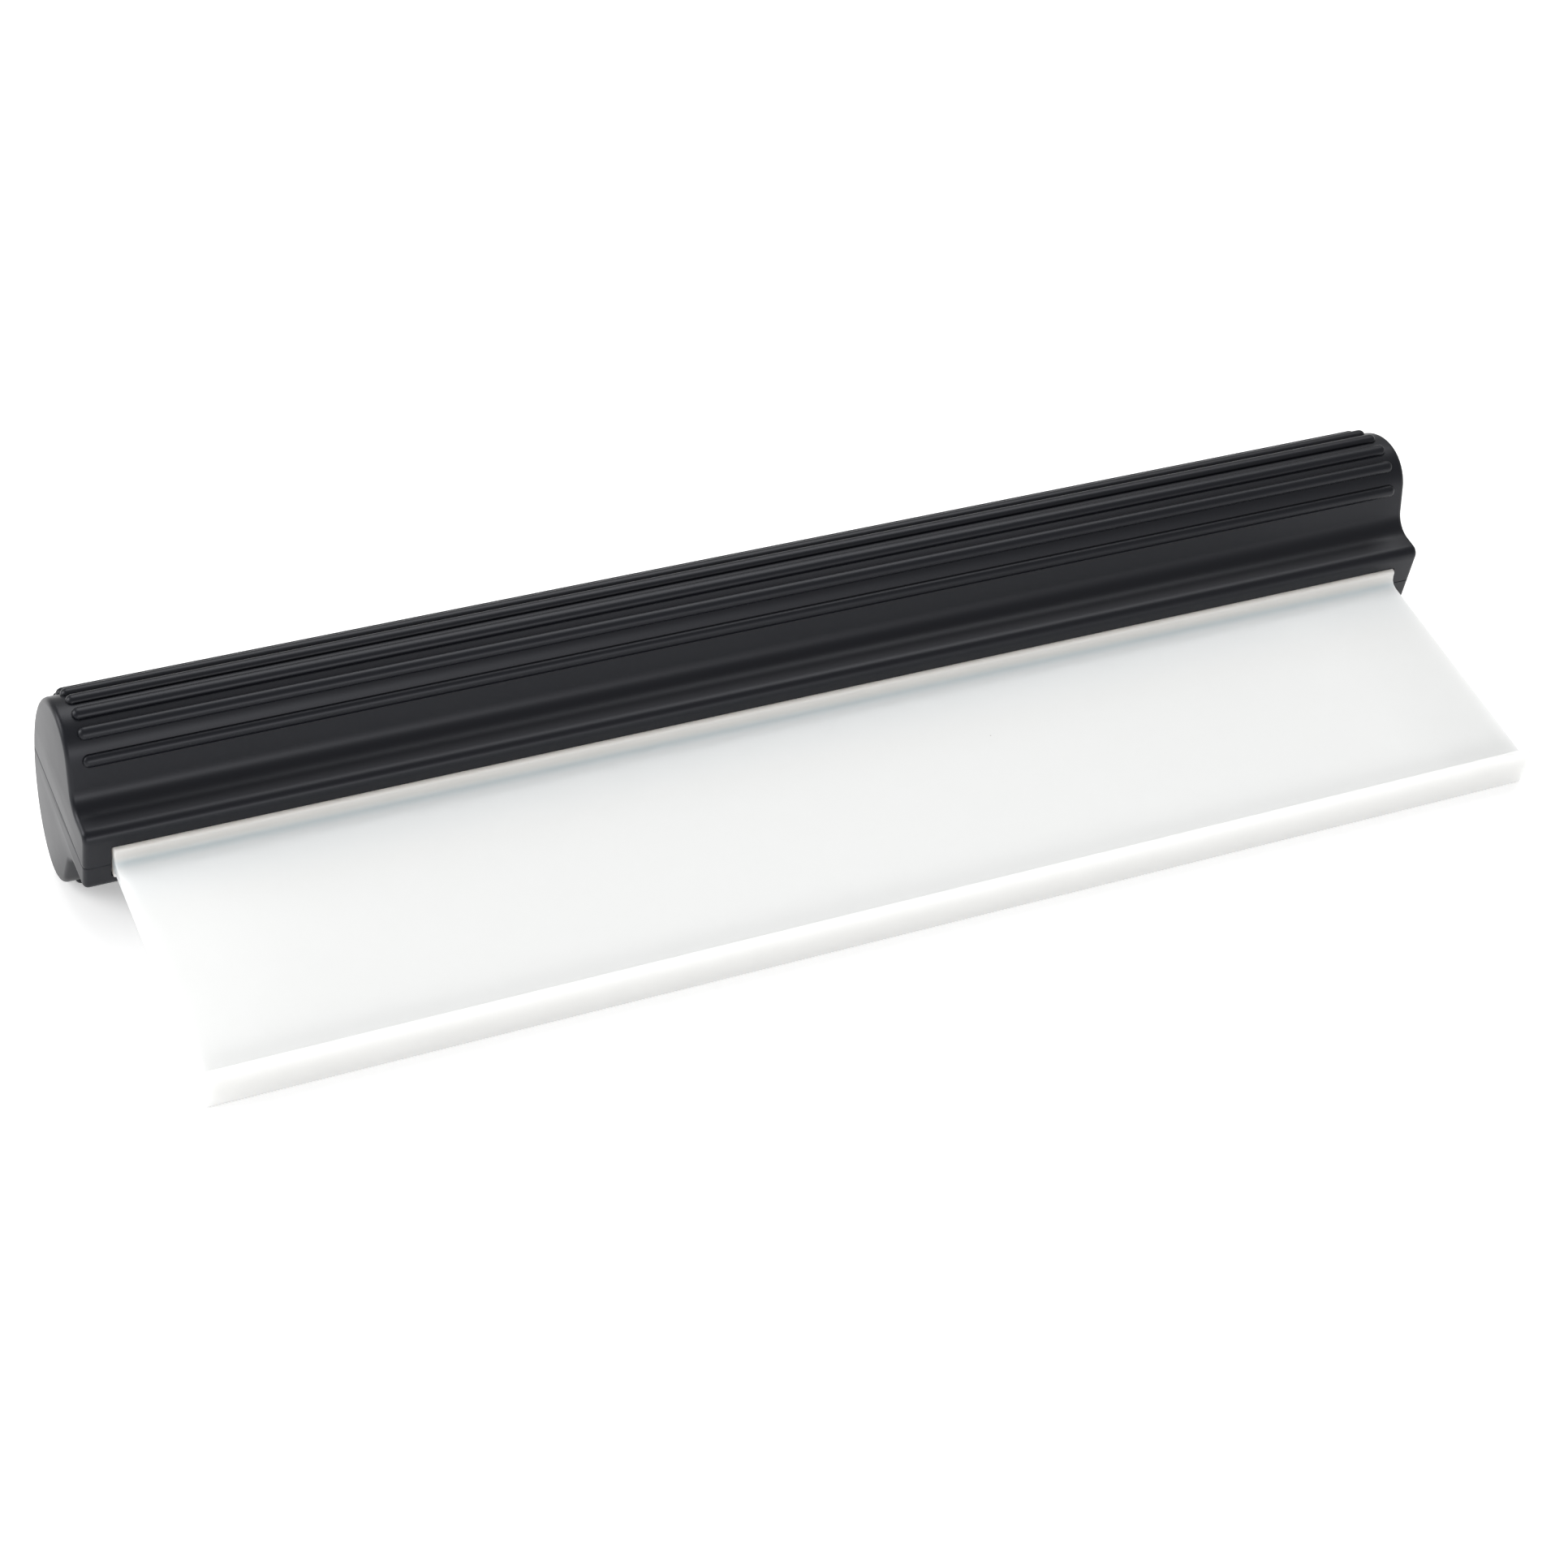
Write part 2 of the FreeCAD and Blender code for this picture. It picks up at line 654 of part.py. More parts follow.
def resting_placement(bodies):
    """The tool tipped blade-down until grip and wiping bar both touch the floor.

    The floor is Z = 0 and the middle of the tool's outline is over the origin.
    """
    spots = {body.Name: body.Shape.tessellate(0.05)[0] for body in bodies}
    grip = spots["handle_lower"]
    bar = spots["blade_web"]
    low, high = 0.0, math.radians(45)
    for _ in range(50):
        tilt = (low + high) / 2
        if lowest(bar, tilt) > lowest(grip, tilt):
            low = tilt
        else:
            high = tilt
    everything = [spot for group in spots.values() for spot in group]
    across = [spot.y * math.cos(tilt) - spot.z * math.sin(tilt) for spot in everything]
    shift = Vector(0, -(min(across) + max(across)) / 2, -lowest(everything, tilt))
    return Placement(shift, Rotation(Vector(1, 0, 0), math.degrees(tilt)))


# ------------------------------------------------------------------ build, check and write

bodies = [
    build_shell("handle_upper", UPPER),
    build_shell("handle_lower", LOWER),
    build_blade_root(),
    build_blade_web(),
]
doc.recompute()
placement = resting_placement(bodies)
for body in bodies:
    body.Placement = placement
doc.recompute()

for item in doc.Objects:
    if "Invalid" in item.State or "Error" in item.State:
        raise RuntimeError(f"{item.Name} failed: {item.State}")
for body in bodies:
    shape = body.Shape
    if shape.isNull() or not shape.isValid() or len(shape.Solids) != 1:
        raise RuntimeError(f"{body.Label} is not one valid solid")

os.makedirs("parts", exist_ok=True)
for body in bodies:
    body.Shape.exportStep(f"parts/{body.Label}.step")
    print(f"{body.Label}: {body.Shape.Volume / 1000:.1f} cm3, {len(body.Shape.Faces)} faces")

hinge_line = placement.multVec(Vector(0, -SIZES["flex_setback"], 0))
end_spot = placement.multVec(
    Vector(handle_length.value / 2, UPPER.setback.value, UPPER.crown.value / 3)
)
wiping_spot = placement.multVec(Vector(0, -SIZES["blade_reach"], 0))
outward = placement.Rotation.multVec(Vector(0, -1, 0))
print(f"tilt {math.degrees(placement.Rotation.Angle):.3f} degrees")
print(f"flex line at {tuple(round(value, 3) for value in hinge_line)}")
print(f"end face at {tuple(round(value, 3) for value in end_spot)}")
print(f"wiping face at {tuple(round(value, 3) for value in wiping_spot)}")
print(f"wiping face looks along {tuple(round(value, 5) for value in outward)}")
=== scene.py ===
"""Looks of a window squeegee: a ribbed clamshell handle and a milky silicone water blade.

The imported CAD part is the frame. Each piece is drawn in the tool's own directions, in
millimetres: X along the handle, deep (back from the foot face, so the blade is at negative
values) and high (up from the parting plane). It is then laid in the row frame, in metres, as
the tool rests on the floor.
"""

import json
import logging
import math
from dataclasses import dataclass
from enum import Enum

import bpy
import numpy as np
from mathutils import Euler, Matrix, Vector


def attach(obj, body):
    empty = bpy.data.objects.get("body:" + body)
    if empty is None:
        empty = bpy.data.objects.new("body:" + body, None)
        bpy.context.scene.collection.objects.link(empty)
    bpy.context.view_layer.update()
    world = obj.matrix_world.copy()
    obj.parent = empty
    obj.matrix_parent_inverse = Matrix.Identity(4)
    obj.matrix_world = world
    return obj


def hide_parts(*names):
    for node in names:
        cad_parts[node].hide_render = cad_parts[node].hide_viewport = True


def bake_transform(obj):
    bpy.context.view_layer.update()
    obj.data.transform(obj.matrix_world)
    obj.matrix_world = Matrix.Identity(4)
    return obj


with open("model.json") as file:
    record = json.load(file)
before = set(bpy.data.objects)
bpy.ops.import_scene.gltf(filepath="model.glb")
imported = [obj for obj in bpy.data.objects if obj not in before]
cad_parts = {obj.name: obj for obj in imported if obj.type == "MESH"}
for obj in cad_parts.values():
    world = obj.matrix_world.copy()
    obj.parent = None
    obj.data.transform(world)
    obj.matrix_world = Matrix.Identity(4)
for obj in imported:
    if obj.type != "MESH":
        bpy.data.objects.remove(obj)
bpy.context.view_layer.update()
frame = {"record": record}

MM = 0.001
NEARLY_NONE = 1e-6
SHARP_ANGLE = 32.0
HANDLE_BODY = "handle"
log = logging.getLogger("squeegee")

Colour = tuple[float, float, float]
Triple = tuple[float, float, float]


class Side(Enum):
    """Which half of the clamshell a shell is, and the sign of its height."""

    UPPER = 1
    LOWER = -1


# ------------------------------------------------------------------ where the tool lies


@dataclass(frozen=True)
class RestingPlace:
    """How the tool's own directions lie in the row frame."""

    deep_origin: float
    high_origin: float
    tilt: float

    @classmethod
    def from_record(cls, record: dict, flex_setback: float) -> "RestingPlace":
        """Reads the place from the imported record.

        Args:
            record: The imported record, with the blade's hinge and the wiping face's mount.
            flex_setback: Foot face to the flex line, outwards, in millimetres.

        Returns:
            The place of the tool's foot face, at the parting plane, and its tilt.
        """
        hinge = record["behaviour"]["joints"][0]["pos_m"]
        face = next(m for m in record["mounts"] if m["name"] == "wiping_face")
        tilt = math.atan2(-face["axis"][2], -face["axis"][1])
        setback = flex_setback * MM
        return cls(hinge[1] + setback * math.cos(tilt), hinge[2] + setback * math.sin(tilt), tilt)

    def lay(self, spots: np.ndarray) -> np.ndarray:
        """Lays points down as the tool rests.

        Args:
            spots: Rows of (x, deep, high) in millimetres.

        Returns:
            The same rows in the row frame, in metres.
        """
        x, deep, high = np.asarray(spots, float).T * MM
        cos, sin = math.cos(self.tilt), math.sin(self.tilt)
        y = deep * cos - high * sin + self.deep_origin
        z = deep * sin + high * cos + self.high_origin
        return np.column_stack([x, y, z])

    def spot(self, x: float, deep: float, high: float) -> Vector:
        """One point laid down as the tool rests, in metres."""
        return Vector(self.lay(np.array([[x, deep, high]]))[0])


# ------------------------------------------------------------------ drawing sections


@dataclass(frozen=True)
class Corner:
    """A corner of a section, with the radius it is rounded to."""

    deep: float
    high: float
    radius: float = 0.0


def rounded(corners: list[Corner], spacing: float) -> np.ndarray:
    """Draws straight runs with round corners.

    Args:
        corners: The corners in order. The first and the last stay sharp.
        spacing: Longest step between two points, in millimetres.

    Returns:
        Rows of (deep, high), evenly spaced on each run and arc.
    """
    spots: list[np.ndarray] = []
    last = np.array([corners[0].deep, corners[0].high])

    def run_to(end: np.ndarray) -> None:
        """Adds the points of a straight run, without its end."""
        steps = max(1, math.ceil(float(np.linalg.norm(end - last)) / spacing))
        spots.extend(last + (end - last) * i / steps for i in range(steps))

    for before, here, after in zip(corners, corners[1:], corners[2:]):
        at = np.array([here.deep, here.high])
        into = at - (before.deep, before.high)
        away = np.array([after.deep, after.high]) - at
        into, away = into / np.linalg.norm(into), away / np.linalg.norm(away)
        turn = math.acos(float(np.clip(into @ away, -1, 1)))
        if here.radius <= 0 or turn < NEARLY_NONE:
            run_to(at)
            last = at
            continue
        cut = here.radius * math.tan(turn / 2)
        start, end = at - into * cut, at + away * cut
        run_to(start)
        side = math.copysign(1, into[0] * away[1] - into[1] * away[0])
        middle = start + side * here.radius * np.array([-into[1], into[0]])
        steps = max(3, math.ceil(here.radius * turn / spacing))
        first = math.atan2(*(start - middle)[::-1])
        for i in range(steps):
            angle = first + side * turn * i / steps
            spots.append(middle + here.radius * np.array([math.cos(angle), math.sin(angle)]))
        last = end
    end = np.array([corners[-1].deep, corners[-1].high])
    run_to(end)
    spots.append(end)
    return np.array(spots)


def outward_normals(section: np.ndarray, closed: bool) -> np.ndarray:
    """Normals of a section that runs with its outside on the right.

    Args:
        section: Rows of (deep, high).
        closed: Whether the last point joins the first.

    Returns:
        A unit normal for each point.
    """
    if closed:
        along = np.roll(section, -1, axis=0) - np.roll(section, 1, axis=0)
    else:
        along = np.gradient(section, axis=0)
    normals = np.column_stack([along[:, 1], -along[:, 0]])
    return normals / np.linalg.norm(normals, axis=1)[:, None]


def columns_along(
    length: float, end_round: float, steps: int, middle: np.ndarray
) -> list[tuple[float, float]]:
    """Places the cross sections of a bar whose two ends have round rims.

    Args:
        length: Length of the bar, in millimetres.
        end_round: Radius of each rim.
        steps: Cross sections on each rim.
        middle: Places of the plain cross sections between the rims.

    Returns:
        Each cross section's place along the bar and how far it is drawn in.
    """
    turns = np.linspace(0, math.pi / 2, steps)
    right = [
        (length / 2 - end_round * (1 - math.sin(a)), end_round * (1 - math.cos(a))) for a in turns
    ]
    left = [(-x, inset) for x, inset in reversed(right)]
    return [*left, *((float(x), 0.0) for x in middle), *right]


def mesh_object(name: str, spots: np.ndarray, faces: list[list[int]]) -> bpy.types.Object:
    """Makes a smooth-shaded object whose steep edges stay sharp.

    Args:
        name: Name of the object and its mesh.
        spots: Vertices in the row frame, in metres.
        faces: Vertex numbers of each face.

    Returns:
        The object, linked to the scene.
    """
    mesh = bpy.data.meshes.new(name)
    mesh.from_pydata(spots.tolist(), [], faces)
    mesh.validate()
    mesh.polygons.foreach_set("use_smooth", [True] * len(mesh.polygons))
    mesh.set_sharp_from_angle(angle=math.radians(SHARP_ANGLE))
    obj = bpy.data.objects.new(name, mesh)
    bpy.context.scene.collection.objects.link(obj)
    return obj


# ------------------------------------------------------------------ node helpers


class NodeBench:
    """Adds and joins the nodes of one tree."""

    def __init__(self, tree: bpy.types.NodeTree) -> None:
        """Starts on a tree, with nothing placed yet."""
        self.tree = tree

    def add(self, kind: str, options: dict | None = None, **sockets: object) -> bpy.types.Node:
        """Adds a node.

        Args:
            kind: Blender's name for the node's type.
            options: Attributes to set on the node.
            **sockets: Values or source sockets, by input name with underscores for spaces, or
                by i0, i1 and so on where names repeat.

        Returns:
            The new node.
        """
        node = self.tree.nodes.new(kind)
        for key, value in (options or {}).items():
            setattr(node, key, value)
        for key, value in sockets.items():
            numbered = key[0] == "i" and key[1:].isdigit()
            socket = node.inputs[int(key[1:]) if numbered else key.replace("_", " ")]
            if isinstance(value, bpy.types.NodeSocket):
                self.tree.links.new(value, socket)
            else:
                socket.default_value = value
        return node

    def maths(self, operation: str, *values: object) -> bpy.types.NodeSocket:
        """A maths node's result, in a shader or a geometry tree."""
        sockets = {f"i{i}": value for i, value in enumerate(values)}
        return self.add("ShaderNodeMath", {"operation": operation}, **sockets).outputs[0]

    def mix(self, share: object, first: object, second: object) -> bpy.types.NodeSocket:
        """A colour mix's result, all of the first at share 0 and all of the second at 1."""
        options = {"data_type": "RGBA"}
        return self.add("ShaderNodeMix", options, i0=share, i6=first, i7=second).outputs[2]

    def place_group(self, tree: bpy.types.NodeTree, values: dict[str, object]) -> bpy.types.Node:
        """Places a shader node group.

        Args:
            tree: The group's tree.
            values: Its inputs in this place, by name.

        Returns:
            The group's node.
        """
        group = self.add("ShaderNodeGroup", {"node_tree": tree})
        set_sockets(group, values)
        return group


def set_sockets(node: bpy.types.Node, values: dict[str, object]) -> None:
    """Sets a node's inputs by name."""
    for label, value in values.items():
        node.inputs[label].default_value = value


def start_group(
    name: str, kind: str, inputs: dict[str, str], outputs: dict[str, str]
) -> tuple[NodeBench, bpy.types.Node, bpy.types.Node]:
    """Starts a node group with named sockets.

    Args:
        name: Name of the group.
        kind: ShaderNodeTree or GeometryNodeTree.
        inputs: Socket type by name. Whoever places the group sets every value.
        outputs: Socket type by name.

    Returns:
        The bench, the group's input node and its output node.
    """
    tree = bpy.data.node_groups.new(name, kind)
    for way, sockets in (("INPUT", inputs), ("OUTPUT", outputs)):
        for label, socket_type in sockets.items():
            tree.interface.new_socket(label, in_out=way, socket_type=socket_type)
    bench = NodeBench(tree)
    return bench, bench.add("NodeGroupInput"), bench.add("NodeGroupOutput")


# ------------------------------------------------------------------ finishes


class SurfaceEffects:
    """Shader node groups that the plastic and the silicone share."""

    def __init__(self) -> None:
        """Builds each group once."""
        self.grain = self._moulded_grain()
        self.dust = self._dust_specks()

    @staticmethod
    def _moulded_grain() -> bpy.types.NodeTree:
        """Fine tool-marked grain.

        Returns:
            A tree that puts out a height, and a mask of patches drawn out along the tool.
        """
        number = "NodeSocketFloat"
        bench, given, result = start_group(
            "Moulded Grain",
            "ShaderNodeTree",
            {"Grain Scale": number, "Patch Scale": number, "Draw": number},
            {"Height": number, "Patches": number},
        )
        place = bench.add("ShaderNodeTexCoord").outputs["Object"]
        stretch = bench.add("ShaderNodeCombineXYZ", X=given.outputs["Draw"], Y=1.0, Z=1.0)
        drawn = bench.add(
            "ShaderNodeVectorMath", {"operation": "MULTIPLY"}, i0=place, i1=stretch.outputs[0]
        )
        fine = bench.add(
            "ShaderNodeTexNoise", Vector=place, Scale=given.outputs["Grain Scale"], Detail=2.0
        )
        patches = bench.add(
            "ShaderNodeTexNoise",
            Vector=drawn.outputs[0],
            Scale=given.outputs["Patch Scale"],
            Detail=4.0,
            Roughness=0.55,
        )
        bench.tree.links.new(fine.outputs["Fac"], result.inputs["Height"])
        bench.tree.links.new(patches.outputs["Fac"], result.inputs["Patches"])
        return bench.tree

    @staticmethod
    def _dust_specks() -> bpy.types.NodeTree:
        """Sparse round specks.

        Returns:
            A tree that puts out their mask.
        """
        number = "NodeSocketFloat"
        bench, given, result = start_group(
            "Dust Specks",
            "ShaderNodeTree",
            {"Cell Scale": number, "Speck Size": number, "Share": number},
            {"Mask": number},
        )
        place = bench.add("ShaderNodeTexCoord").outputs["Object"]
        cells = bench.add(
            "ShaderNodeTexVoronoi",
            {"feature": "F1"},
            Vector=place,
            Scale=given.outputs["Cell Scale"],
        )
        lot = bench.add("ShaderNodeSeparateColor", Color=cells.outputs["Color"])
        near = bench.maths("LESS_THAN", cells.outputs["Distance"], given.outputs["Speck Size"])
        chosen = bench.maths("LESS_THAN", lot.outputs[0], given.outputs["Share"])
        bench.tree.links.new(bench.maths("MULTIPLY", near, chosen), result.inputs["Mask"])
        return bench.tree


def start_material(name: str) -> tuple[bpy.types.Material, NodeBench, bpy.types.Node]:
    """A material with only a Principled shader and its output.

    Args:
        name: Name of the material.

    Returns:
        The material, a bench on its tree and the shader node.
    """
    material = bpy.data.materials.new(name)
    material.use_nodes = True
    material.node_tree.nodes.clear()
    bench = NodeBench(material.node_tree)
    shader = bench.add("ShaderNodeBsdfPrincipled")
    bench.add("ShaderNodeOutputMaterial", Surface=shader.outputs[0])
    return material, bench, shader


@dataclass(frozen=True)
class MouldedSurface:
    """The grain, gloss and dust of a moulded surface, with depths in metres and scales per metre."""

    roughness: float
    roughness_spread: float
    grain_scale: float
    grain_strength: float
    grain_depth: float
    patch_scale: float
    patch_draw: float
    speck_colour: Colour
    speck_cells: float
    speck_size: float
    speck_share: float

    def grain(self, bench: NodeBench, effects: SurfaceEffects) -> bpy.types.Node:
        """Places the shared grain with this surface's values.

        Args:
            bench: The material's bench.
            effects: The shared node groups.

        Returns:
            The grain's node.
        """
        values = {
            "Grain Scale": self.grain_scale,
            "Patch Scale": self.patch_scale,
            "Draw": self.patch_draw,
        }
        return bench.place_group(effects.grain, values)

    def finish(
        self,
        bench: NodeBench,
        shader: bpy.types.Node,
        grain: bpy.types.Node,
        body: bpy.types.NodeSocket,
        effects: SurfaceEffects,
    ) -> None:
        """Dusts the body colour and joins colour, gloss and grain to the shader.

        Args:
            bench: The material's bench.
            shader: The Principled shader.
            grain: The grain that this surface placed.
            body: The clean colour.
            effects: The shared node groups.
        """
        values = {
            "Cell Scale": self.speck_cells,
            "Speck Size": self.speck_size,
            "Share": self.speck_share,
        }
        dust = bench.place_group(effects.dust, values)
        dusty = bench.mix(dust.outputs["Mask"], body, (*self.speck_colour, 1))
        rough = bench.add(
            "ShaderNodeMapRange",
            Value=grain.outputs["Patches"],
            To_Min=self.roughness - self.roughness_spread / 2,
            To_Max=self.roughness + self.roughness_spread / 2,
        )
        bump = bench.add(
            "ShaderNodeBump",
            Strength=self.grain_strength,
            Distance=self.grain_depth,
            Height=grain.outputs["Height"],
        )
        bench.tree.links.new(dusty, shader.inputs["Base Color"])
        bench.tree.links.new(rough.outputs[0], shader.inputs["Roughness"])
        bench.tree.links.new(bump.outputs[0], shader.inputs["Normal"])


@dataclass(frozen=True)
class SatinPlastic:
    """Black moulded plastic with a satin surface and a little dust."""

    colour: Colour = (0.0022, 0.0026, 0.0042)
    worn_colour: Colour = (0.0040, 0.0045, 0.0068)
    specular: float = 0.29
    shine_tint: Colour = (0.93, 0.94, 1.0)
    surface: MouldedSurface = MouldedSurface(
        roughness=0.38,
        roughness_spread=0.08,
        grain_scale=3200.0,
        grain_strength=0.35,
        grain_depth=0.00002,
        patch_scale=70.0,
        patch_draw=0.12,
        speck_colour=(0.55, 0.53, 0.50),
        speck_cells=70.0,
        speck_size=0.016,
        speck_share=0.09,
    )

    def material(self, effects: SurfaceEffects) -> bpy.types.Material:
        """Builds the material.

        Args:
            effects: The shared node groups.

        Returns:
            The plastic's material.
        """
        material, bench, shader = start_material("Satin Black Plastic")
        shine = {"Specular IOR Level": self.specular, "Specular Tint": (*self.shine_tint, 1.0)}
        set_sockets(shader, shine)
        grain = self.surface.grain(bench, effects)
        body = bench.mix(grain.outputs["Patches"], (*self.colour, 1), (*self.worn_colour, 1))
        self.surface.finish(bench, shader, grain, body, effects)
        return material


@dataclass(frozen=True)
class ColourBand:
    """The blade's colour at a share of the way from its root (0) to its wiping face (1)."""

    at: float
    colour: Colour


@dataclass(frozen=True)
class MilkySilicone:
    """Translucent white silicone, neutral, with a painted warm highlight at the root and painted
    bluish shade in the cove beside it.
    """

    # painted highlight: the warm colour paints the highlight on the root's rounded top edge
    root: ColourBand = ColourBand(0.012, (0.72, 0.69, 0.65))
    # painted shade: darker and bluer than the web, for the shade on the root's steep front face and
    # the cove
    painted_cove_shade: ColourBand = ColourBand(0.03, (0.60, 0.645, 0.66))
    # the painted bluish shade fades out here into the web's colour
    neck: ColourBand = ColourBand(0.055, (0.67, 0.685, 0.69))
    web: ColourBand = ColourBand(0.25, (0.66, 0.665, 0.66))
    web_end: ColourBand = ColourBand(0.93, (0.66, 0.665, 0.66))
    wiping_face: ColourBand = ColourBand(1.0, (0.62, 0.62, 0.61))
    specular: float = 0.4
    refraction: float = 1.41
    glow_depth: float = 0.006
    glow_radius: Triple = (1.0, 1.0, 1.0)
    surface: MouldedSurface = MouldedSurface(
        roughness=0.34,
        roughness_spread=0.08,
        grain_scale=900.0,
        grain_strength=0.25,
        grain_depth=0.00002,
        patch_scale=24.0,
        patch_draw=0.3,
        speck_colour=(0.35, 0.33, 0.30),
        speck_cells=28.0,
        speck_size=0.009,
        speck_share=0.1,
    )

    def material(self, effects: SurfaceEffects) -> bpy.types.Material:
        """Builds the material, which reads the mesh's "reach" attribute.

        Args:
            effects: The shared node groups.

        Returns:
            The silicone's material.
        """
        material, bench, shader = start_material("Milky Silicone")
        set_sockets(
            shader,
            {
                "Subsurface Weight": 1.0,
                "Subsurface Radius": self.glow_radius,
                "Subsurface Scale": self.glow_depth,
                "Specular IOR Level": self.specular,
                "IOR": self.refraction,
            },
        )
        grain = self.surface.grain(bench, effects)
        self.surface.finish(bench, shader, grain, self._body(bench), effects)
        return material

    def _body(self, bench: NodeBench) -> bpy.types.NodeSocket:
        """The clean colour, from the root to the wiping face, with a painted highlight at the root
        and painted shade in the cove.

        Args:
            bench: The material's bench.

        Returns:
            The colour socket.
        """
        reach = bench.add("ShaderNodeAttribute", {"attribute_name": "reach"})
        ramp = bench.add("ShaderNodeValToRGB", Fac=reach.outputs["Fac"])
        stops = ramp.color_ramp.elements
        for stop, band in zip(stops, (self.root, self.wiping_face)):
            stop.position, stop.color = band.at, (*band.colour, 1)
        # the root stop paints a highlight, and the cove and neck stops paint shade
        for band in (self.painted_cove_shade, self.neck, self.web, self.web_end):
            stops.new(band.at).color = (*band.colour, 1)
        return ramp.outputs[0]


# ------------------------------------------------------------------ the clamshell handle


@dataclass
class RibSeat:
    """Where a shell carries its ribs: its section as an edge-only object, and what fits on it."""

    line: bpy.types.Object
    crown_at: float
    outward: float
    count: int
    handle_length: float


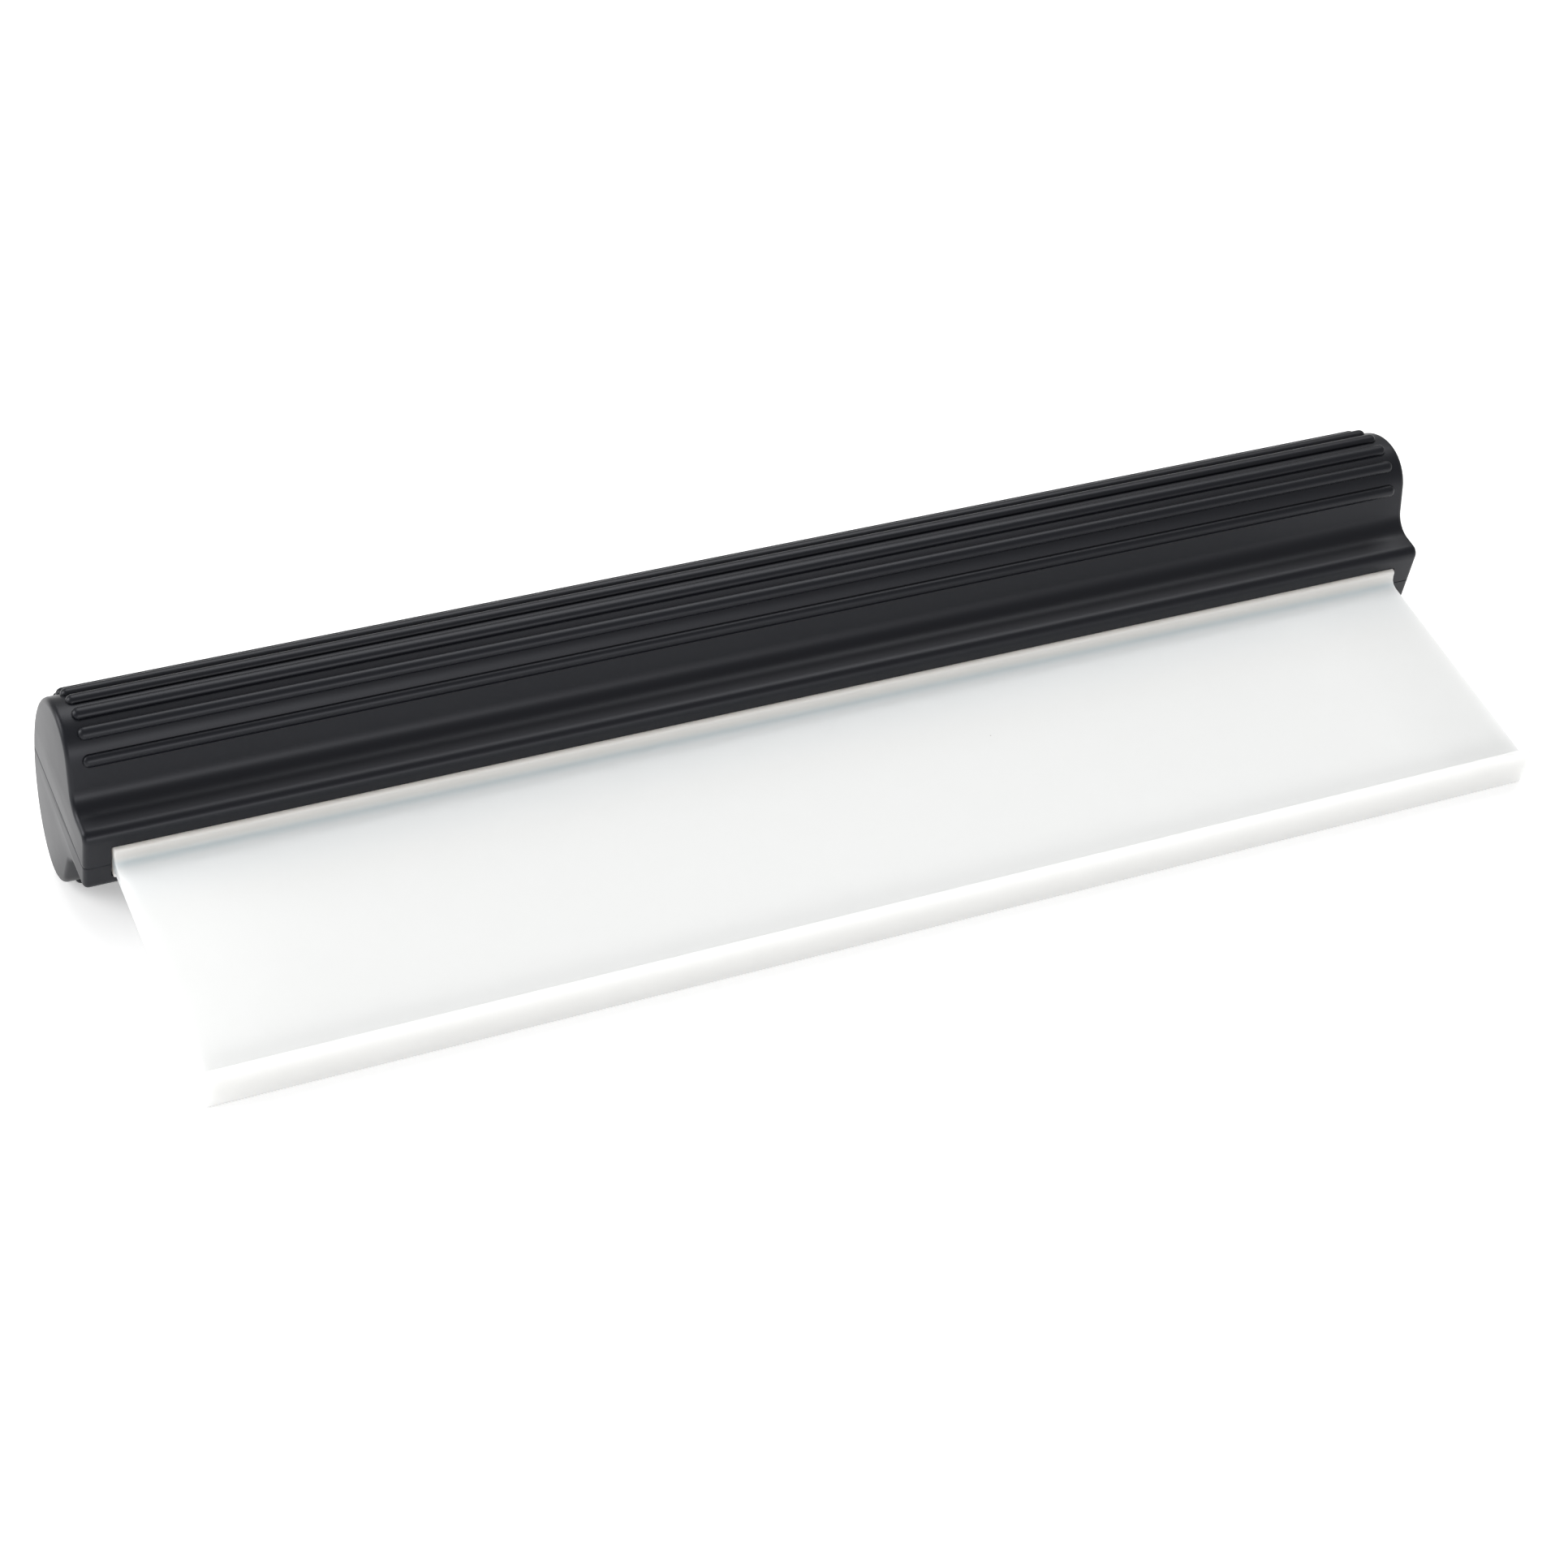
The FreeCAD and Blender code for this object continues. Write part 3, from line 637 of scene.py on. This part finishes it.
@dataclass(frozen=True)
class RibRow:
    """The raised grip ribs of a shell and the node tree that moulds them."""

    width: float = 2.9
    height: float = 1.3
    sink: float = 0.4  # how far a rib reaches into the shell
    pitch: float = 4.4
    lead: float = 5.45  # crown to the first rib of the even row, along the surface
    front_gap: float = 5.7  # first rib of the even row to the separate front rib
    end_gap: float = 3.2  # end face to a rib's round end
    edge_power: float = 2.1  # 2 for a half-round rib, and flatter on top as it rises
    round_steps: int = 36
    height_steps: int = 17

    def tree(self) -> bpy.types.NodeTree:
        """Node tree that joins a row of ribs to a shell.

        Returns:
            The tree. It takes the shell, the section line that the ribs stand on, their
            sizes in metres, which side is out, and the finish.
        """
        number = "NodeSocketFloat"
        bench, given, result = start_group(
            "Grip Ribs",
            "GeometryNodeTree",
            {
                "Shell": "NodeSocketGeometry",
                "Section Line": "NodeSocketObject",
                "Rib Count": "NodeSocketInt",
                "Rib Width": number,
                "Rib Height": number,
                "Rib Sink": number,
                "Half Span": number,
                "Front Rib At": number,
                "Front Gap": number,
                "Pitch": number,
                "Edge Power": number,
                "Outward": number,
                "Finish": "NodeSocketMaterial",
            },
            {"Shell": "NodeSocketGeometry"},
        )
        get = given.outputs
        rib = self._rib(bench, get)
        index = bench.add("GeometryNodeInputIndex").outputs[0]
        later = bench.maths("MAXIMUM", bench.maths("SUBTRACT", index, 1.0), 0.0)
        first_gap = bench.maths("MULTIPLY", bench.maths("MINIMUM", index, 1.0), get["Front Gap"])
        back = bench.maths("ADD", first_gap, bench.maths("MULTIPLY", later, get["Pitch"]))
        distance = bench.maths("SUBTRACT", get["Front Rib At"], back)
        info = bench.add("GeometryNodeObjectInfo", Object=get["Section Line"])
        line = bench.add("GeometryNodeMeshToCurve", Mesh=info.outputs["Geometry"])
        sample = bench.add(
            "GeometryNodeSampleCurve", {"mode": "LENGTH"}, Curves=line.outputs[0], Length=distance
        )
        out = bench.add(
            "ShaderNodeVectorMath",
            {"operation": "CROSS_PRODUCT"},
            i0=sample.outputs["Tangent"],
            i1=(1.0, 0.0, 0.0),
        )
        outward = bench.add(
            "ShaderNodeVectorMath", {"operation": "SCALE"}, i0=out.outputs[0], Scale=get["Outward"]
        )
        turned = bench.add(
            "FunctionNodeAlignRotationToVector",
            {"axis": "Z", "pivot_axis": "X"},
            Vector=outward.outputs[0],
        )
        seats = bench.add(
            "GeometryNodePoints", Count=get["Rib Count"], Position=sample.outputs["Position"]
        )
        ribs = bench.add(
            "GeometryNodeInstanceOnPoints",
            Points=seats.outputs[0],
            Instance=rib,
            Rotation=turned.outputs[0],
        )
        joined = bench.add("GeometryNodeJoinGeometry")
        bench.tree.links.new(ribs.outputs[0], joined.inputs[0])
        bench.tree.links.new(get["Shell"], joined.inputs[0])
        real = bench.add("GeometryNodeRealizeInstances", Geometry=joined.outputs[0])
        dressed = bench.add(
            "GeometryNodeSetMaterial", Geometry=real.outputs[0], Material=get["Finish"]
        )
        bench.tree.links.new(dressed.outputs[0], result.inputs[0])
        return bench.tree

    def _rib(self, bench: NodeBench, get: bpy.types.NodeOutputs) -> bpy.types.NodeSocket:
        """One rib with round ends and soft edges, along X with its top towards Z.

        Args:
            bench: The tree that the rib is made in.
            get: The tree's inputs.

        Returns:
            The rib's geometry socket.
        """
        ball = bench.add(
            "GeometryNodeMeshUVSphere",
            Segments=self.round_steps,
            Rings=self.height_steps,
            Radius=1.0,
        )
        lain = bench.add(
            "GeometryNodeTransform", Geometry=ball.outputs[0], Rotation=Euler((0, math.pi / 2, 0))
        )
        place = bench.add("GeometryNodeInputPosition").outputs[0]
        apart = bench.add("ShaderNodeSeparateXYZ", Vector=place).outputs
        along_square = bench.maths("POWER", apart[0], 2.0)
        across_square = bench.maths("POWER", apart[1], 2.0)
        off_axis = bench.maths("SQRT", bench.maths("ADD", along_square, across_square))
        fall = bench.maths("POWER", off_axis, get["Edge Power"])
        left = bench.maths("MAXIMUM", bench.maths("SUBTRACT", 1.0, fall), 0.0)
        crown = bench.maths("POWER", left, bench.maths("DIVIDE", 1.0, get["Edge Power"]))
        above = bench.maths("GREATER_THAN", apart[2], 0.0)
        top = bench.maths("MULTIPLY", above, get["Rib Height"])
        bottom = bench.maths("MULTIPLY", bench.maths("SUBTRACT", 1.0, above), get["Rib Sink"])
        high = bench.maths("MULTIPLY", crown, bench.maths("SUBTRACT", top, bottom))
        half = bench.maths("MULTIPLY", get["Rib Width"], 0.5)
        stretch = bench.maths("MULTIPLY", bench.maths("SIGN", apart[0]), get["Half Span"])
        long = bench.maths("ADD", bench.maths("MULTIPLY", apart[0], half), stretch)
        wide = bench.maths("MULTIPLY", apart[1], half)
        spot = bench.add("ShaderNodeCombineXYZ", X=long, Y=wide, Z=high)
        shaped = bench.add(
            "GeometryNodeSetPosition", Geometry=lain.outputs[0], Position=spot.outputs[0]
        )
        smooth = bench.add("GeometryNodeSetShadeSmooth", Geometry=shaped.outputs[0])
        return smooth.outputs[0]

    def fit(
        self,
        shell: bpy.types.Object,
        seat: RibSeat,
        finish: bpy.types.Material,
        tree: bpy.types.NodeTree,
    ) -> None:
        """Moulds the ribs on a shell and leaves it a plain mesh.

        Args:
            shell: The shell's object, whose mesh is replaced.
            seat: Where the shell carries its ribs.
            finish: Material of the shell and its ribs.
            tree: The rib tree.
        """
        modifier = shell.modifiers.new("grip_ribs", "NODES")
        modifier.node_group = tree
        values = {
            "Section Line": seat.line,
            "Rib Count": seat.count,
            "Rib Width": self.width * MM,
            "Rib Height": self.height * MM,
            "Rib Sink": self.sink * MM,
            "Half Span": (seat.handle_length / 2 - self.end_gap - self.width / 2) * MM,
            "Front Rib At": (seat.crown_at + self.lead + self.front_gap) * MM,
            "Front Gap": self.front_gap * MM,
            "Pitch": self.pitch * MM,
            "Edge Power": self.edge_power,
            "Outward": seat.outward,
            "Finish": finish,
        }
        for item in tree.interface.items_tree:
            if item.in_out == "INPUT" and item.name in values:
                modifier[item.identifier] = values[item.name]
        graph = bpy.context.evaluated_depsgraph_get()
        made = bpy.data.meshes.new_from_object(shell.evaluated_get(graph), depsgraph=graph)
        plain = shell.data
        shell.modifiers.clear()
        shell.data = made
        made.name = shell.name
        bpy.data.meshes.remove(plain)


@dataclass(frozen=True)
class HalfSizes:
    """The sizes in which the two halves of the handle differ."""

    crown_height: float
    crown_setback: float
    shoulder_radius: float
    neck_radius: float
    foot_height: float
    nose_radius: float
    slot_half: float
    rib_count: int


HALVES = {
    Side.UPPER: HalfSizes(
        crown_height=24.8,
        crown_setback=20.2,
        shoulder_radius=9.0,
        neck_radius=5.0,
        foot_height=9.3,
        nose_radius=2.2,
        slot_half=4.95,
        rib_count=9,
    ),
    Side.LOWER: HalfSizes(
        crown_height=24.0,
        crown_setback=23.0,
        shoulder_radius=9.5,
        neck_radius=6.0,
        foot_height=6.2,
        nose_radius=1.2,
        slot_half=3.5,
        rib_count=8,
    ),
}


@dataclass(frozen=True)
class ShellGrid:
    """How a shell's vertices are numbered: row by row in each column, then the slot's floor."""

    rows: int
    last: int
    slot_row: int
    slotted: list[int]
    inner: int

    def at(self, column: int, row: int) -> int:
        """Vertex number of a grid point."""
        return column * self.rows + row


@dataclass(frozen=True)
class HandleShell:
    """One half of the clamshell handle, from the foot over the grip to its rear."""

    side: Side
    length: float = 317.0
    depth: float = 37.0
    flank_angle: float = 72.0
    end_round: float = 1.2
    seam_cut: float = 0.14  # the small bevel that shows the parting line
    slot_depth: float = 11.0
    slot_reach: float = 152.8  # middle of the handle to each end of the slot
    rear_steps: int = 41
    shoulder_steps: int = 19
    front_spacing: float = 0.55
    end_steps: int = 6
    middle_columns: int = 9

    @property
    def half(self) -> HalfSizes:
        """The sizes of this half."""
        return HALVES[self.side]

    def section(self) -> np.ndarray:
        """Draws the outside.

        Returns:
            Rows of (deep, high), from the rear tip over the crown to the foot.
        """
        half, slope = self.half, math.radians(self.flank_angle)
        behind = self.depth - half.crown_setback
        rear = [
            (half.crown_setback + behind * math.cos(a), half.crown_height * math.sin(a))
            for a in np.linspace(0, math.pi / 2, self.rear_steps)
        ]
        radius = half.shoulder_radius
        middle = (half.crown_setback, half.crown_height - radius)
        shoulder = [
            (middle[0] - radius * math.sin(a), middle[1] + radius * math.cos(a))
            for a in np.linspace(0, slope, self.shoulder_steps)
        ]
        flank_top = shoulder.pop()
        run = (flank_top[1] - half.foot_height) / math.tan(slope)
        front = rounded(
            [
                Corner(*flank_top),
                Corner(flank_top[0] - run, half.foot_height, half.neck_radius),
                Corner(0, half.foot_height, half.nose_radius),
                Corner(0, half.slot_half),
                Corner(0, self.seam_cut),
                Corner(0, 0),
            ],
            self.front_spacing,
        )
        seam, lip = (self.depth, 0.0), (self.depth, self.seam_cut)
        return np.array([seam, lip, *rear[1:], *shoulder[1:], *front])

    def build(self, place: RestingPlace) -> bpy.types.Object:
        """Builds the closed shell, without its ribs.

        Args:
            place: Where the tool lies.

        Returns:
            The shell's object.
        """
        section = self.section()
        middle = np.linspace(-self.slot_reach, self.slot_reach, self.middle_columns)
        columns = columns_along(self.length, self.end_round, self.end_steps, middle)
        spots = self._rings(section, columns)
        slotted = [i for i, (x, _) in enumerate(columns) if abs(x) <= self.slot_reach + NEARLY_NONE]
        slot_row = int(np.argmin(np.hypot(section[:, 0], section[:, 1] - self.half.slot_half)))
        inner = len(spots)
        for x in (-self.slot_reach, self.slot_reach):
            spots += [(x, self.slot_depth, self.half.slot_half), (x, self.slot_depth, 0.0)]
        faces = self._faces(ShellGrid(len(section), len(columns) - 1, slot_row, slotted, inner))
        laid = np.array(spots)
        if self.side is Side.LOWER:
            laid[:, 2] *= -1
            faces = [face[::-1] for face in faces]
        name = f"grip_{self.side.name.lower()}_shell"
        return mesh_object(name, place.lay(laid), faces)

    def _rings(self, section: np.ndarray, columns: list[tuple[float, float]]) -> list[Triple]:
        """Draws the section at each column, drawn in at the rims and cut back at the seam.

        Args:
            section: Rows of (deep, high).
            columns: Place of each column and how far it is drawn in.

        Returns:
            Vertices as (x, deep, high), column by column.
        """
        normals = outward_normals(section, closed=False)
        normals[:2], normals[-1] = (1, 0), (-1, 0)
        spots: list[Triple] = []
        for x, inset in columns:
            ring = section - normals * inset
            ring[0, 0] -= self.seam_cut
            ring[-1, 0] += self.seam_cut
            at_end = x in (columns[0][0], columns[-1][0])
            seam_x = x - math.copysign(self.seam_cut, x) if at_end else x
            across = [seam_x, *[x] * (len(ring) - 2), seam_x]
            spots += [(along, deep, high) for along, (deep, high) in zip(across, ring)]
        return spots

    @staticmethod
    def _faces(grid: ShellGrid) -> list[list[int]]:
        """Faces of the outer skin, the slot, the end faces and the parting face.

        Args:
            grid: How the shell's vertices are numbered.

        Returns:
            Vertex numbers of each face, seen from outside.
        """
        at, rows, last, slot_row = grid.at, grid.rows, grid.last, grid.slot_row
        near, far = grid.slotted[0], grid.slotted[-1]
        faces: list[list[int]] = []
        for column in range(last):
            skin_rows = slot_row if near <= column < far else rows - 1
            for row in range(skin_rows):
                here, there = column, column + 1
                faces.append([at(here, row), at(here, row + 1), at(there, row + 1), at(there, row)])
        left_top, left_low, right_top, right_low = range(grid.inner, grid.inner + 4)
        slot_end = range(slot_row, rows)
        faces.append([at(i, slot_row) for i in reversed(grid.slotted)] + [left_top, right_top])
        faces.append([left_top, left_low, right_low, right_top])
        faces.append([at(near, row) for row in reversed(slot_end)] + [left_top, left_low])
        faces.append([at(far, row) for row in slot_end] + [right_low, right_top])
        faces.append([at(0, row) for row in range(rows - 2, 0, -1)])
        faces.append([at(last, row) for row in range(1, rows - 1)])
        seam_rows = (0, 1, rows - 2, rows - 1)
        faces.append([at(0, row) for row in reversed(seam_rows)])
        faces.append([at(last, row) for row in seam_rows])
        parting = [at(i, rows - 1) for i in range(near + 1)] + [left_low, right_low]
        parting += [at(i, rows - 1) for i in range(far, last + 1)]
        parting += [at(i, 0) for i in range(last, -1, -1)]
        faces.append(parting)
        return faces

    def rib_seat(self, place: RestingPlace) -> RibSeat:
        """Lays out the line under the ribs, at the middle of the handle.

        Args:
            place: Where the tool lies.

        Returns:
            The seat of this shell's ribs.
        """
        section = self.section()[1:]
        crown = int(np.argmax(section[:, 1]))
        steps = np.linalg.norm(np.diff(section, axis=0), axis=1)
        spots = np.column_stack([np.zeros(len(section)), section])
        spots[:, 2] *= self.side.value
        mesh = bpy.data.meshes.new("section_line")
        edges = [(i, i + 1) for i in range(len(section) - 1)]
        mesh.from_pydata(place.lay(spots).tolist(), edges, [])
        line = bpy.data.objects.new("section_line", mesh)
        bpy.context.scene.collection.objects.link(line)
        crown_at = float(steps[:crown].sum())
        outward = float(self.side.value)
        return RibSeat(line, crown_at, outward, self.half.rib_count, self.length)

    def make(
        self,
        place: RestingPlace,
        finish: bpy.types.Material,
        ribs: RibRow,
        tree: bpy.types.NodeTree,
    ) -> bpy.types.Object:
        """Builds and dresses the shell.

        Args:
            place: Where the tool lies.
            finish: The plastic.
            ribs: The ribs' sizes.
            tree: The rib tree.

        Returns:
            The finished piece, riding on the handle.
        """
        shell = self.build(place)
        seat = self.rib_seat(place)
        ribs.fit(shell, seat, finish, tree)
        bpy.data.objects.remove(seat.line)
        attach(shell, HANDLE_BODY)
        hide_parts(f"handle_{self.side.name.lower()}")
        return shell


# ------------------------------------------------------------------ the silicone blade


@dataclass(frozen=True)
class SiliconeBlade:
    """The one-piece blade: root bead, web and T-shaped wiping edge."""

    length: float = 305.0
    reach: float = 61.3  # foot face of the handle to the wiping face
    root_depth: float = 10.6
    root_top: float = 4.85
    root_bottom: float = 3.4
    root_round: float = 0.8
    stand_out: float = 1.0  # how far the root stands out of the slot
    cove_share: float = 0.75  # the root's front face that the hollow beside the web takes up
    web_half: float = 1.5
    bar_half: float = 4.9
    bar_thickness: float = 2.4
    lip_thickness: float = 1.2
    lip_fillet: float = 1.2
    edge_round: float = 0.25
    end_round: float = 0.25
    flex_setback: float = 4.0
    bend_start: float = -1.5  # where a bend over the web would start; the blade is built straight
    bend_end: float = -9.0
    spacing: float = 1.1
    end_steps: int = 4
    middle_columns: int = 13

    def section(self) -> np.ndarray:
        """Draws the closed section.

        Returns:
            Rows of (deep, high), with the outside on the right.
        """
        top = self._face(self.root_top)
        bottom = self._face(self.root_bottom)[-2:0:-1] * (1, -1)
        return np.vstack([top, bottom])

    def _face(self, root_height: float) -> np.ndarray:
        """Half of the section, from the back of the root to the wiping face.

        Args:
            root_height: Mid-plane to the outside of the root.

        Returns:
            Rows of (deep, high), on the upper side.
        """
        soft, face = self.edge_round, -self.reach
        room = root_height - self.root_round - self.web_half
        corners = [
            Corner(self.root_depth, 0),
            Corner(self.root_depth, root_height, self.root_round),
            Corner(-self.stand_out, root_height, self.root_round),
            Corner(-self.stand_out, self.web_half, room * self.cove_share),
            Corner(face + self.bar_thickness, self.web_half, self.lip_fillet),
            Corner(face + self.lip_thickness, self.bar_half, soft),
            Corner(face, self.bar_half, soft),
            Corner(face, 0),
        ]
        return rounded(corners, self.spacing)

    def build(self, place: RestingPlace) -> bpy.types.Object:
        """Builds the blade as one closed skin.

        Args:
            place: Where the tool lies.

        Returns:
            The blade's object, with a "reach" attribute from 0 at the root to 1 at the edge.
        """
        section = self.section()
        normals = outward_normals(section, closed=True)
        flat_half = self.length / 2 - self.end_round
        middle = np.linspace(-flat_half, flat_half, self.middle_columns)[1:-1]
        columns = columns_along(self.length, self.end_round, self.end_steps, middle)
        rows, last = len(section), len(columns) - 1
        spots = np.vstack([
            np.column_stack([np.full(rows, x), section - normals * inset]) for x, inset in columns
        ])
        faces = []
        for column in range(last):
            here, there = column * rows, (column + 1) * rows
            for row in range(rows):
                after = (row + 1) % rows
                faces.append([here + row, here + after, there + after, there + row])
        faces.append(list(range(rows))[::-1])
        faces.append([last * rows + row for row in range(rows)])
        blade = mesh_object("silicone_blade", place.lay(spots), faces)
        reach = blade.data.attributes.new("reach", "FLOAT", "POINT")
        shares = np.clip(-spots[:, 1] / self.reach, 0, 1)
        reach.data.foreach_set("value", shares.astype(np.float32))
        return blade

    def make(self, place: RestingPlace, finish: bpy.types.Material) -> bpy.types.Object:
        """Builds and dresses the blade.

        Args:
            place: Where the tool lies.
            finish: The silicone.

        Returns:
            The finished piece, which runs straight from the handle to the wiping edge.
        """
        blade = self.build(place)
        blade.data.materials.append(finish)
        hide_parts("blade_root", "blade_web")
        start, end = place.spot(0, self.bend_start, 0), place.spot(0, self.bend_end, 0)
        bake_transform(blade)
        return blade


# ------------------------------------------------------------------ the studio


@dataclass(frozen=True)
class SoftBox:
    """A rectangular studio light that looks at a point on the floor."""

    name: str
    at: Triple
    width: float
    height: float
    power: float
    target: Triple = (0.0, 0.0, 0.02)

    def hang(self) -> None:
        """Hangs the light and turns it to its target."""
        light = bpy.data.lights.new(self.name, "AREA")
        light.shape = "RECTANGLE"
        light.size, light.size_y = self.width, self.height
        light.energy = self.power
        obj = bpy.data.objects.new(self.name, light)
        bpy.context.scene.collection.objects.link(obj)
        obj.location = self.at
        look = Vector(self.target) - Vector(self.at)
        obj.rotation_euler = look.to_track_quat("-Z", "Y").to_euler()


@dataclass(frozen=True)
class Studio:
    """Pale floor, soft light and the camera, which is placed in the tool's own directions."""

    floor_half: float = 4.0
    floor_colour: Colour = (0.90, 0.90, 0.90)
    floor_mottle: float = 1.02
    floor_mottle_scale: float = 3.0
    floor_glow: float = 0.35
    floor_roughness: float = 0.9
    floor_specular: float = 0.1
    air_strength: float = 0.50
    camera_at: Triple = (-289.0, -459.9, 532.2)
    camera_turn: Triple = (43.8444, -7.9192, -23.9855)
    lens: float = 80.305
    sensor: float = 36.0
    nearest: float = 0.01
    farthest: float = 50.0
    boxes: tuple[SoftBox, ...] = (
        SoftBox("overhead_box", (0.30, 0.45, 1.20), 1.3, 0.8, 11.5),
        SoftBox("left_box", (-1.25, 0.45, 0.75), 0.9, 0.9, 13.0),
        SoftBox("front_box", (-0.2, -1.45, 0.25), 1.5, 0.4, 9.0),
    )

    def set_up(self, place: RestingPlace) -> None:
        """Makes the floor, the lights, the air and the camera.

        Args:
            place: Where the tool lies, which the camera follows.
        """
        self._floor()
        for box in self.boxes:
            box.hang()
        self._air()
        self._camera(place)
        bpy.context.scene.view_settings.view_transform = "Standard"

    def _floor(self) -> None:
        """A large plain sheet under the tool."""
        side = self.floor_half
        spots = np.array([(-side, -side, 0), (side, -side, 0), (side, side, 0), (-side, side, 0)])
        floor = mesh_object("studio_floor", spots, [[0, 1, 2, 3]])
        material, bench, shader = start_material("Pale Floor")
        noise = bench.add("ShaderNodeTexNoise", Scale=self.floor_mottle_scale, Detail=2.0)
        lighter = tuple(part * self.floor_mottle for part in self.floor_colour)
        tone = bench.mix(noise.outputs["Fac"], (*self.floor_colour, 1), (*lighter, 1))
        bench.tree.links.new(tone, shader.inputs["Base Color"])
        set_sockets(
            shader,
            {
                "Emission Color": (1.0, 1.0, 1.0, 1.0),
                "Emission Strength": self.floor_glow,
                "Roughness": self.floor_roughness,
                "Specular IOR Level": self.floor_specular,
            },
        )
        floor.data.materials.append(material)

    def _air(self) -> None:
        """Even light from all round."""
        world = bpy.data.worlds.new("soft_air")
        world.use_nodes = True
        background = world.node_tree.nodes["Background"]
        background.inputs["Color"].default_value = (1.0, 1.0, 1.0, 1.0)
        background.inputs["Strength"].default_value = self.air_strength
        bpy.context.scene.world = world

    def _camera(self, place: RestingPlace) -> None:
        """The camera, with everything in focus, laid down as the tool is.

        Args:
            place: Where the tool lies.
        """
        data = bpy.data.cameras.new("camera")
        data.lens, data.sensor_width = self.lens, self.sensor
        data.clip_start, data.clip_end = self.nearest, self.farthest
        camera = bpy.data.objects.new("camera", data)
        camera.location = place.spot(*self.camera_at)
        turn = Euler([math.radians(a) for a in self.camera_turn]).to_matrix()
        camera.rotation_euler = (Euler((place.tilt, 0, 0)).to_matrix() @ turn).to_euler()
        bpy.context.scene.collection.objects.link(camera)
        bpy.context.scene.camera = camera


# ------------------------------------------------------------------ putting it together


def main() -> None:
    """Builds every piece in order and reports it."""
    logging.basicConfig(level=logging.INFO, format="%(name)s: %(message)s")
    blade = SiliconeBlade()
    place = RestingPlace.from_record(frame["record"], blade.flex_setback)
    effects = SurfaceEffects()
    plastic = SatinPlastic().material(effects)
    silicone = MilkySilicone().material(effects)
    ribs = RibRow()
    tree = ribs.tree()
    made = [HandleShell(side).make(place, plastic, ribs, tree) for side in Side]
    made.append(blade.make(place, silicone))
    Studio().set_up(place)
    for piece in made:
        log.info("%s: %d faces", piece.name, len(piece.data.polygons))


if __name__ == "__main__":
    main()
